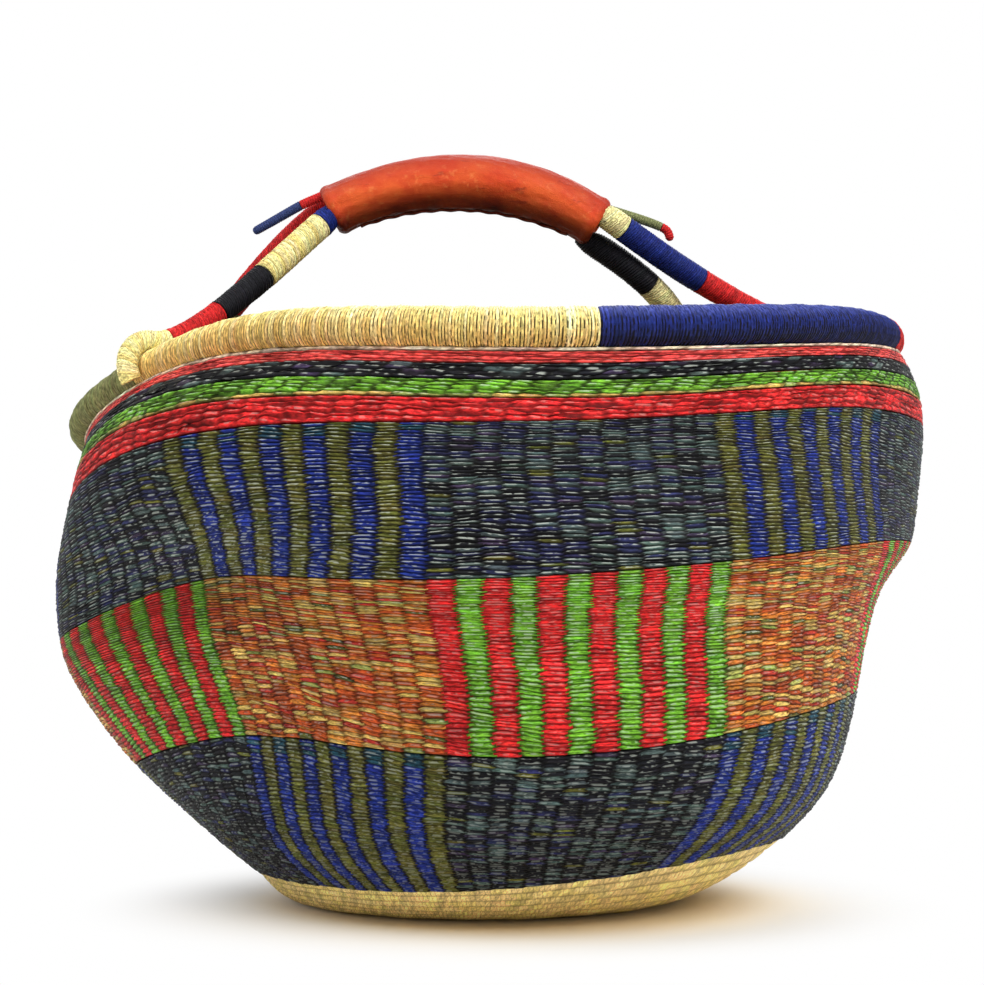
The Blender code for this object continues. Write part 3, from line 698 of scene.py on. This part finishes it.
# Wound stretches of the rim: CAD node, start and end angle, dyes of the strands, and how much
# painted shade darkens their underside
RIM_WRAPS = (
    ("rim_wrap_natural_front", -60.0, 11.1, ("natural", "natural", "pale"), 0.55),
    ("rim_wrap_navy_right", 11.1, 74.0, ("blue",), 0.85),
    ("rim_wrap_red_right", 74.0, 128.0, ("red",), 0.5),
    ("rim_wrap_natural_back", 128.0, 186.0, ("natural", "natural", "pale"), 0.5),
    ("rim_wrap_black_back", 186.0, 242.0, ("black", "moss"), 0.5),
    ("rim_wrap_olive_left", 242.0, 300.0, ("khaki",), 0.25),
)


def rim_frames(angle):
    """Centre line of the rim, with its upward and outward directions. It sits upright on
    the wall's edge at the front and the back, where it rests on the edge's outer corner,
    follows the wall's slope at the sides, and leans a little to the left.
    """
    level = np.full_like(angle, RING_LEVELS[-1])
    point, up, inward = surface_frames(wall_surface, level, angle)
    lean = (RIM_LEAN * inward[:, 0])[:, None]
    upright = (np.cos(angle) ** 2)[:, None]
    rising = unit(upright * UPRIGHT + (1.0 - upright) * up)
    towards = unit(np.cos(lean) * rising - np.sin(lean) * inward)
    rise = np.sum(towards * up, axis=1, keepdims=True)
    aside = np.abs(np.sum(towards * inward, axis=1, keepdims=True))
    reach = RIM_DIAMETER * 0.5 + SEAT_GAP
    half = WALL_THICKNESS * 0.5
    on_edge = reach / rise
    on_corner = half * aside + np.sqrt(reach ** 2 - (half * rise) ** 2)
    seat = np.where(on_edge * aside > half, on_corner, on_edge)
    return point + inward * half + seat * towards, up, -inward


def path_lengths(path):
    """Length from the start of a path to each of its points."""
    return np.append(0.0, np.cumsum(np.linalg.norm(np.diff(path, axis=0), axis=1)))


def along_path(values, lengths, at):
    """Values of a path's points, read off at given lengths along it."""
    return np.stack([np.interp(at, lengths, column) for column in values.T], axis=-1)


def ring_round(turn, side_a, side_b):
    """Directions round a path, from side_a over side_b and back, without the last one."""
    return np.cos(turn[:-1, None]) * side_a + np.sin(turn[:-1, None]) * side_b


def cord_piece(name, path, side_a, side_b, radius, sides, along, colour):
    """A solid cord round a path, flat at both ends, in one linear colour."""
    turn = math.tau * np.arange(sides + 1) / sides
    ring = ring_round(turn, side_a[:, None], side_b[:, None])
    dyes = np.broadcast_to(colour, (len(path) - 1, sides, 3))
    return grid_piece(name, path[:, None] + radius * ring, turn, along, dyes, capped=True)


def wound_cover(name, route, span, radius, thickness, strand, colours, tilt, sides, varied,
                swell=0.0, under_shade=0.0):
    """A hollow cover of strands wound round a route, from span[0] to span[1] along it.

    The route has a path and two directions square to it, and radius has a value for each
    of its points. Each strand is a ridge, a half sine high and of its own width, and the
    cover swells and shrinks along its way. Its rings tilt: each point is shifted along by
    the sine of its turn. The last argument paints shade on the strands where the first
    direction faces away.
    """
    path, side_a, side_b = route
    lengths = path_lengths(path)
    count = max(2, round((span[1] - span[0]) / strand))
    edges = np.append(0.0, np.cumsum(draw.uniform(*STRAND_WIDTHS, count)))
    edges = span[0] + (span[1] - span[0]) * edges / edges[-1]
    at = stops_at(count, STRAND_SAMPLES)
    down = np.linspace(count, 0, max(2, count // 3))
    turn = math.tau * np.arange(sides + 1) / sides
    groove = GROOVE_SHARE * strand * (0.5 - np.abs(np.sin(math.pi * at)))
    lumps = STRAND_LUMP * strand * draw.uniform(-1.0, 1.0, count)
    groove += lumps[np.minimum(at.astype(int), count - 1)]
    rings = []
    for places, depth in ((at, groove), (down, np.full(len(down), thickness))):
        stop = np.interp(places, np.arange(count + 1), edges)[:, None]
        size = np.interp(stop, lengths, radius) - depth[:, None]
        if places is at:
            size = size + swell * np.sin(math.tau * stop / SWELL_LENGTH
                                         + 1.5 * np.sin(stop / SWELL_LENGTH))
        fade = np.clip(np.minimum(stop - span[0], span[1] - stop) / (2.0 * strand), 0.0, 1.0)
        stop = stop + fade * tilt * np.sin(turn[None, :-1])
        ring = ring_round(turn, unit(along_path(side_a, lengths, stop)),
                          unit(along_path(side_b, lengths, stop)))
        rings.append(along_path(path, lengths, stop) + size[..., None] * ring)
    shades = np.array([DYES[colour] for colour in colours])
    dyes = vary(shades[draw.integers(0, len(shades), count)], varied, 0.03)
    # Painted shade: strands darken towards the side opposite the first direction, the rim's
    # underside, as much as the last argument gives
    below = np.clip(0.5 - 0.75 * np.cos(turn[:-1] + math.pi / sides), 0.0, 1.0) ** 1.6
    dark = under_shade * below[None, :] * draw.uniform(0.7, 1.0, (count, 1))
    dyes = dyes[:, None, :] * (1.0 - dark[..., None] * np.array(UNDER_SHADE_TINT))
    places = np.concatenate([at, down])
    return grid_piece(name, np.concatenate(rings), turn, places,
                      face_dyes(dyes, np.arange(sides + 1.0), places))


def strand_material(name, slits, top_light):
    """Wound strands: the dye with long fibre streaks round the winding, and dark slits of
    painted shade between strands that open and close along their way. slits sets how dark
    they are, and top_light how much painted light closes them and pales the strands on the
    side where the turn is 0.
    """
    material, shader, root = new_material(name, 0.52, 0.12)
    u, v, rise, dye = weave_values(root)
    streak = grass_noise(u * 3.0, v * 2.4, 3.0)
    patches = grass_noise(u * 2.2, v * 0.9, 2.0, 0.5)
    # Painted light on the side where the turn is 0, the top of the rim: slits close there and
    # strands turn paler
    top = ramp(root.maths("COSINE", u), 0.2, 0.95) * top_light
    colour = mix(1.0, dye, ramp(streak, 0.28, 0.72, 0.55, 1.45), "MULTIPLY")
    colour = mix(1.0, colour, ramp(patches, 0.3, 0.7, 0.80, 1.20), "MULTIPLY")
    # Painted shade in the dark slits between strands
    gap = root.maths("MINIMUM", ramp(rise, 0.22, 0.46), ramp(rise, 1.0, 0.86))
    slit = (1.0 - gap) * ramp(patches, 0.44, 0.52, 0.05, 1.0) * (1.0 - top) * slits
    colour = mix(slit, colour, mix(0.08, rgba(0.05, 0.03, 0.02), dye))
    lit = top * ramp(streak, 0.38, 0.62, 0.25, 1.0)
    colour = mix(lit, colour, mix(0.08, dye, rgba(1.0, 1.0, 1.0)), "SCREEN")
    feed(shader, "Base Color", colour)
    feed(shader, "Roughness", ramp(streak, 0.2, 0.8, 0.64, 0.44))
    feed_bump(shader, streak * 0.7 + root.maths("SINE", rise * math.pi), 0.5, 0.0003)
    return material


def grass_bundle_material():
    """The plain grass of the hidden bundles, streaked in the piece's own place."""
    material, shader, root = new_material("grass_bundle", 0.7, 0.5)
    streak = noise(root.node("ShaderNodeTexCoord", output="Object"), 900.0, 3.0)
    colour = mix(ramp(streak, 0.35, 0.65), rgba(0.42, 0.29, 0.13), rgba(0.80, 0.62, 0.32))
    feed(shader, "Base Color", colour)
    feed_bump(shader, streak, 0.4, 0.0005)
    return material


grass_bundle = grass_bundle_material()
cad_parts["rim_core"].material_slots[0].material = grass_bundle
wound = strand_material("wound_grass", 0.45, 0.0)
rim_wound = strand_material("wound_rim_grass", 1.0, 0.8)
rim_angles = np.linspace(-math.pi, math.tau, RIM_STEPS)
rim_route = rim_frames(rim_angles)
rim_radius = np.full(RIM_STEPS, RIM_DIAMETER * 0.5 + RIM_FULLNESS)
for name, start, end, colours, under_shade in RIM_WRAPS:
    span = np.interp(np.radians((start, end)), rim_angles, path_lengths(rim_route[0]))
    piece = wound_cover(f"{name}_strands", rim_route, span + END_GAPS, rim_radius,
                        RIM_WRAP_THICKNESS, RIM_STRAND, colours, RIM_TILT, RIM_SIDES, 0.10,
                        RIM_SWELL, under_shade)
    finish_piece(piece, rim_wound, name)


# Handle legs: four ropes of grass, each wound with fine strands in several colours. They
# come out of the ends of the grip, where the leather holds them tight, and their feet bend
# over the rim and are sewn in below it.
ROPE_DIAMETER = 0.012
ROPE_WRAP_THICKNESS = 0.002
ROPE_STRAND = 0.0011
ROPE_TILT = 0.0016
ROPE_SIDES = 18
FOOT_DIAMETER = 0.009
TUCKED_SHARE = 0.5
TUCKED_LENGTH = 0.012
TUCKED_START = 0.004
FOOT_CLEARANCE = 0.0005
FOOT_WRAP_SHARE = 0.85
FOOT_POINTS = 40
LEG_STEPS = 80
THINNING_SHARES = (0.3, 0.8)
GRIP_SPAN = 0.121
GRIP_RISE = 0.0157
GRIP_TILT = math.radians(2.4)
GRIP_MIDDLE_HEIGHT = 0.3288
GRIP_ASIDE = -0.012
BACK = np.array([0.0, 1.0, 0.0])

# Each leg: rope and side, angle of its foot, how far outward of the rim's top it meets the
# rim as a share of its slope, where it leaves the grip back and up in rope diameters, how
# far it holds its direction at the grip and at the rim, and its wraps with start and end as
# shares of its length, and dyes
LEGS = (
    ("front", "left", -58.0, 0.50, (-0.5, -0.25), (0.10, 0.20), (
        ("wrap_navy", 0.0, 0.063, ("blue",)),
        ("wrap_natural", 0.063, 0.344, ("natural", "pale")),
        ("wrap_black", 0.344, 0.56, ("black",)),
        ("wrap_red", 0.56, 0.768, ("red",)),
        ("foot_natural", 0.768, 1.0, ("natural", "pale")))),
    ("front", "right", 108.0, 0.40, (-0.5, 0.33), (0.05, 0.30), (
        ("wrap_natural", 0.0, 0.076, ("pale",)),
        ("wrap_blue", 0.076, 0.345, ("blue",)),
        ("wrap_red", 0.345, 0.76, ("red",)),
        ("foot_red", 0.76, 1.0, ("red",)))),
    ("back", "left", -116.0, 0.55, (0.5, 0.25), (0.20, 0.10), (
        ("wrap_red", 0.0, 0.38, ("red",)),
        ("wrap_olive", 0.38, 0.74, ("khaki",)),
        ("foot_navy", 0.74, 1.0, ("blue",)))),
    ("back", "right", 149.0, 0.55, (0.5, -0.70), (0.60, 0.30), (
        ("wrap_black", 0.0, 0.18, ("black",)),
        ("wrap_natural", 0.18, 0.78, ("pale",)),
        ("foot_natural", 0.78, 1.0, ("pale",)))),
)


def grip_line(share):
    """The grip's centre line, an arc from share -1 at the left to 1 at the right, which is
    lower, with its directions along it and up.
    """
    half = GRIP_SPAN * 0.5
    radius = (half ** 2 + GRIP_RISE ** 2) / (2.0 * GRIP_RISE)
    turn = np.asarray(share, float) * math.asin(half / radius) + GRIP_TILT
    level = np.zeros_like(turn)
    along = np.stack([np.cos(turn), level, -np.sin(turn)], axis=-1)
    up = np.stack([np.sin(turn), level, np.cos(turn)], axis=-1)
    middle = np.array([GRIP_ASIDE, 0.0, GRIP_MIDDLE_HEIGHT])
    middle_up = np.array([math.sin(GRIP_TILT), 0.0, math.cos(GRIP_TILT)])
    return middle + radius * (up - middle_up), along, up


def grip_end(side):
    """The middle of the grip's end, the direction that leaves it, and up from it."""
    sign = 1.0 if side == "right" else -1.0
    end, along, up = grip_line(sign)
    return end, sign * along, up


def bent_route(start, start_hold, end_hold, end):
    """Cubic curve from start to end that leaves and arrives along its two holds."""
    t = np.linspace(0.0, 1.0, LEG_STEPS + 1)[:, None]
    s = 1.0 - t
    return (s ** 3 * start + 3.0 * s ** 2 * t * (start + start_hold)
            + 3.0 * s * t ** 2 * (end - end_hold) + t ** 3 * end)


def foot_route(angle, fall_share, start):
    """A rope's way over the rim, round it at an even distance, from where the leg's slope
    meets the rim's round to just short of the wall's edge; and its first direction.
    """
    turn = np.radians([angle])
    centre, up, out = (row[0] for row in rim_frames(turn))
    bend = RIM_DIAMETER * 0.5 + FOOT_CLEARANCE
    reach = bend + FOOT_DIAMETER * 0.5
    fall = math.atan2(np.dot(start - centre, up), np.dot(centre - start, out))
    first = math.pi / 2.0 - fall_share * fall
    edge = wall_surface(np.array(RING_LEVELS[-1]), turn[0])
    last = -FOOT_WRAP_SHARE * math.acos((np.dot(edge - centre, out) + FOOT_CLEARANCE) / bend)
    rise = np.linspace(first, last, FOOT_POINTS)[:, None]
    points = centre + reach * (np.cos(rise) * out + np.sin(rise) * up)
    return points, math.sin(first) * out - math.cos(first) * up


def path_frames(path, first):
    """Two directions square to a path at each point, carried along it without twist. The
    path starts in the direction first.
    """
    ahead = unit(np.gradient(path, axis=0))
    ahead[0] = first
    side = np.zeros_like(path)
    current = BACK
    for k, direction in enumerate(ahead):
        current = unit(current - direction * np.dot(current, direction))
        side[k] = current
    return side, np.cross(ahead, side)


for rope, side, foot_angle, fall_share, leaving, (grip_hold, foot_hold), wraps in LEGS:
    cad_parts[f"{rope}_{side}_rope_core"].material_slots[0].material = grass_bundle
    end, ahead, up = grip_end(side)
    start = (end + SEAT_GAP * ahead + ROPE_DIAMETER * leaving[1] * up
             + ROPE_DIAMETER * leaving[0] * BACK)
    foot, arrive = foot_route(foot_angle, fall_share, start)
    straight = np.linalg.norm(foot[0] - start)
    leg = bent_route(start, grip_hold * straight * ahead, foot_hold * straight * arrive,
                     foot[0])
    path = np.vstack([start - TUCKED_START * ahead, leg[:-1], foot])
    route = (path, *path_frames(path, ahead))
    lengths = path_lengths(path)
    whole = lengths[-1] - TUCKED_START
    radius = np.interp((lengths - TUCKED_START) / whole, THINNING_SHARES,
                       (ROPE_DIAMETER * 0.5, FOOT_DIAMETER * 0.5))
    tucked = np.clip(1.0 - lengths / TUCKED_LENGTH, 0.0, 1.0) ** 2
    radius = radius * (1.0 - (1.0 - TUCKED_SHARE) * tucked)
    for part, first, last, colours in wraps:
        name = f"{rope}_{side}_{part}"
        span = TUCKED_START + whole * np.array([first, last]) + END_GAPS
        if first == 0.0:
            span[0] = 0.0
        piece = wound_cover(f"{name}_strands", route, span, radius, ROPE_WRAP_THICKNESS,
                            ROPE_STRAND, colours, ROPE_TILT, ROPE_SIDES, 0.12)
        finish_piece(piece, wound, name)


# Grip: the ropes are padded with grass and covered with a piece of red-brown goatskin,
# pulled tight round them and laced together along its underside.
GRIP_THICKNESS = 0.0254
GRIP_DEPTH = 0.0285
GRIP_END_SHARE = 0.88
LEATHER_THICKNESS = 0.002
LACING_WIDTH = 0.004
LACING_SEAT = 0.0005
LACING_STITCHES = 13
LACING_THONG = 0.0014
LACING_END = 0.86
LACING_SIDES = 8
POINTS_A_STITCH = 16
COVER_REACH = 1.04
GRIP_SIDES = 72
GRIP_RINGS = 220
RINGS_TO_LINING = 4
UPSIDE = 0.5 * math.pi
UNDERSIDE = 1.5 * math.pi

# Relief of the leather: it sinks at the seam and bulges beside it, is uneven all over, and
# has a raised hem at both ends that closes on the ropes
SEAM_SINK = 0.0009
SEAM_BULGE = 0.0005
LEATHER_LUMPS = 0.00035
LEATHER_WRINKLES = 0.00012
HEM_RISE = 0.0006
HEM_CLOSING = 0.0013


def grip_rings(shares, inset):
    """Oval rings round the grip's centre line, largest in the middle, moved inwards by
    inset, which has a value for each point.
    """
    centres, _, up = grip_line(shares)
    swell = (GRIP_END_SHARE + (1.0 - GRIP_END_SHARE) * np.cos(shares * math.pi / 2.0))[:, None]
    sides = inset.shape[1]
    turn = math.tau * np.arange(sides)[None, :] / sides
    half_up = (GRIP_THICKNESS * 0.5 * swell - inset)[..., None]
    half_back = (GRIP_DEPTH * 0.5 * swell - inset)[..., None]
    return (centres[:, None, :] + half_back * np.cos(turn)[..., None] * BACK
            + half_up * np.sin(turn)[..., None] * up[:, None, :])


def leather_material(name, shade):
    """Goatskin: red-orange dye, worn paler in spots, with fine grain, and creases where it was
    pulled tight. Painted shade darkens its top, its underside and its creases. shade darkens
    all of it.
    """
    material, shader, root = new_material(name, 0.5, 0.25)
    place = root.node("ShaderNodeTexCoord", output="Object")
    uv = root.node("ShaderNodeUVMap", {"uv_map": "weave"})
    around = root.node("ShaderNodeSeparateXYZ", inputs={0: uv}, output="X")
    clouds, spots = noise(place, 55.0, 5.0, 0.6), noise(place, 240.0, 4.0, 0.65)
    grain = root.node("ShaderNodeTexVoronoi", {"feature": "DISTANCE_TO_EDGE"},
                      {"Vector": place, "Scale": 1300.0})
    long_way = root.node("ShaderNodeMapping", inputs={
        "Vector": place, "Scale": (60.0, 260.0, 260.0)})
    creases = noise(long_way, 1.0, 4.0, 0.55)
    colour = mix(ramp(clouds, 0.35, 0.65), rgba(0.85, 0.26, 0.09), rgba(0.92, 0.38, 0.15))
    colour = mix(ramp(spots, 0.54, 0.72) * 0.45, colour, rgba(0.96, 0.56, 0.30))
    # Painted shade on the top of the grip
    above = ramp(root.maths("ABSOLUTE", around - UPSIDE), 1.8, 0.5)
    colour = mix(above * 0.85, colour, rgba(0.60, 0.13, 0.04))
    # Painted shade on the underside of the grip
    below = ramp(root.maths("ABSOLUTE", around - UNDERSIDE), 1.5, 0.5)
    colour = mix(below * ramp(clouds, 0.25, 0.6, 1.0, 0.8), colour, rgba(0.20, 0.03, 0.02))
    # Painted shade in the creases
    colour = mix(ramp(creases, 0.62, 0.70) * 0.5, colour, rgba(0.45, 0.12, 0.07))
    feed(shader, "Base Color", mix(1.0, colour, (shade, shade, shade, 1.0), "MULTIPLY"))
    feed(shader, "Roughness", ramp(spots, 0.3, 0.7, 0.58, 0.45))
    feed_bump(shader, creases * 1.2 + clouds * 0.8 + ramp(grain, 0.0, 0.12) * 0.25, 0.6, 0.0005)
    return material


leather = leather_material("goatskin", 1.0)
shares = np.linspace(-COVER_REACH, COVER_REACH, GRIP_RINGS)
turn = math.tau * np.arange(GRIP_SIDES)[None, :] / GRIP_SIDES
from_seam = np.abs(turn - UNDERSIDE)
to_end = (COVER_REACH - np.abs(shares))[:, None]
inset = (SEAM_SINK * np.exp(-(from_seam / 0.10) ** 2)
         - SEAM_BULGE * np.exp(-((from_seam - 0.32) / 0.16) ** 2))
inset = inset * (1.0 + 0.6 * waver(0.0 * turn, shares[:, None], 40, 81))
inset = inset + LEATHER_LUMPS * waver(turn / math.tau, shares[:, None], 7, 82)
inset = inset + LEATHER_WRINKLES * waver(turn / math.tau, shares[:, None], 30, 83)
inset = inset - HEM_RISE * np.exp(-((to_end - 0.05) / 0.03) ** 2)
inset = inset + HEM_CLOSING * np.clip(1.0 - to_end / 0.03, 0.0, 1.0) ** 2
lining_shares = shares[::-RINGS_TO_LINING]
lining = np.full((len(lining_shares), GRIP_SIDES), LEATHER_THICKNESS)
rings = np.concatenate([grip_rings(shares, inset), grip_rings(lining_shares, lining)])
along = np.concatenate([shares, lining_shares])
across = np.append(turn[0], math.tau)
piece = grid_piece("grip_leather_skin", rings, across, along,
                   np.ones((len(rings), GRIP_SIDES, 3)))
finish_piece(piece, leather, "grip_leather_cover")
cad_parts["grip_padding"].material_slots[0].material = grass_bundle

# Lacing: one thin thong that crosses the seam from side to side along the underside
steps = np.linspace(-LACING_END, LACING_END, POINTS_A_STITCH * LACING_STITCHES)
_, _, up = grip_line(steps)
seam = grip_rings(steps, np.full((len(steps), 4), -LACING_SEAT))[:, 3]
swing = np.sin(math.pi * LACING_STITCHES * steps)
path = seam + (LACING_WIDTH - LACING_THONG) * 0.5 * swing[:, None] * BACK
ahead = unit(np.gradient(path, axis=0))
side_a = unit(np.cross(ahead, up))
piece = cord_piece("grip_lacing_thong", path, side_a, np.cross(ahead, side_a),
                   LACING_THONG * 0.5, LACING_SIDES, steps, np.ones(3))
finish_piece(piece, leather_material("leather_thong", 0.2), "grip_lacing")


# Tails: the two ends of the cord that binds the ropes under the leather, stiff and wound
# with fine strands, left standing out at the ends of the grip.
TAIL_DIAMETER = 0.0042
TAIL_FULLNESS = 0.0002
TAIL_STRAND = 0.0012
TAIL_GROOVE = 0.0002
TAIL_TIP = 0.002
TAIL_LENGTH = 0.036
TAIL_SIDES = 12
TAIL_STEPS = 60

# Each tail: where it leaves the grip's end back and up, as shares of the grip's size, its
# route right, back and up in tail lengths, and its two wraps with their dyes
TAILS = (
    ("left", (-0.10, 0.31),
     ((0.0, 0.0, 0.0), (-0.15, 0.03, -0.06), (-0.32, 0.06, -0.13), (-0.60, 0.10, -0.28),
      (-0.94, 0.12, -0.47)),
     (("tail_red", 0.0, 0.5, "red"), ("tail_navy", 0.5, 1.0, "denim"))),
    ("right", (0.10, 0.31),
     ((0.0, 0.0, 0.0), (0.25, 0.03, -0.07), (0.52, 0.06, -0.15), (0.74, 0.09, -0.23),
      (0.83, 0.10, -0.30), (0.86, 0.10, -0.41)),
     (("tail_olive", 0.0, 0.6, "khaki"), ("tail_red", 0.6, 1.0, "red"))),
)
for side, (back_share, up_share), points, wraps in TAILS:
    end, ahead, up = grip_end(side)
    start = (end + SEAT_GAP * ahead + GRIP_THICKNESS * up_share * up
             + GRIP_DEPTH * back_share * BACK)
    points = start + TAIL_LENGTH * np.array(points)
    knots = np.linspace(0.0, 1.0, len(points))
    at = np.linspace(0.0, 1.0, 2 * TAIL_STEPS + 1)
    path = np.stack([natural_spline(knots, column, at) for column in points.T], axis=-1)
    side_a, side_b = path_frames(path, ahead)
    lengths = path_lengths(path)
    for part, first, last, colour in wraps:
        name = f"{side}_{part}"
        low, high = np.interp((first, last), at, lengths) + END_GAPS
        place = np.linspace(low, high, TAIL_STEPS)
        strand = (place - low) / TAIL_STRAND
        taper = 1.0 - 0.1 * (place / lengths[-1]) ** 3
        closing = np.sqrt(1.0 - np.clip(1.0 - (lengths[-1] - place) / TAIL_TIP, 0.0, 0.9) ** 2)
        radius = ((TAIL_DIAMETER * 0.5 + TAIL_FULLNESS) * taper * closing
                  - TAIL_GROOVE * (1.0 - np.abs(np.sin(math.pi * strand))))
        centre, a, b = (along_path(values, lengths, place) for values in (path, side_a, side_b))
        piece = cord_piece(f"{name}_strands", centre, unit(a), unit(b), radius[:, None, None],
                           TAIL_SIDES, strand, linear(DYES[colour]))
        finish_piece(piece, wound, name)
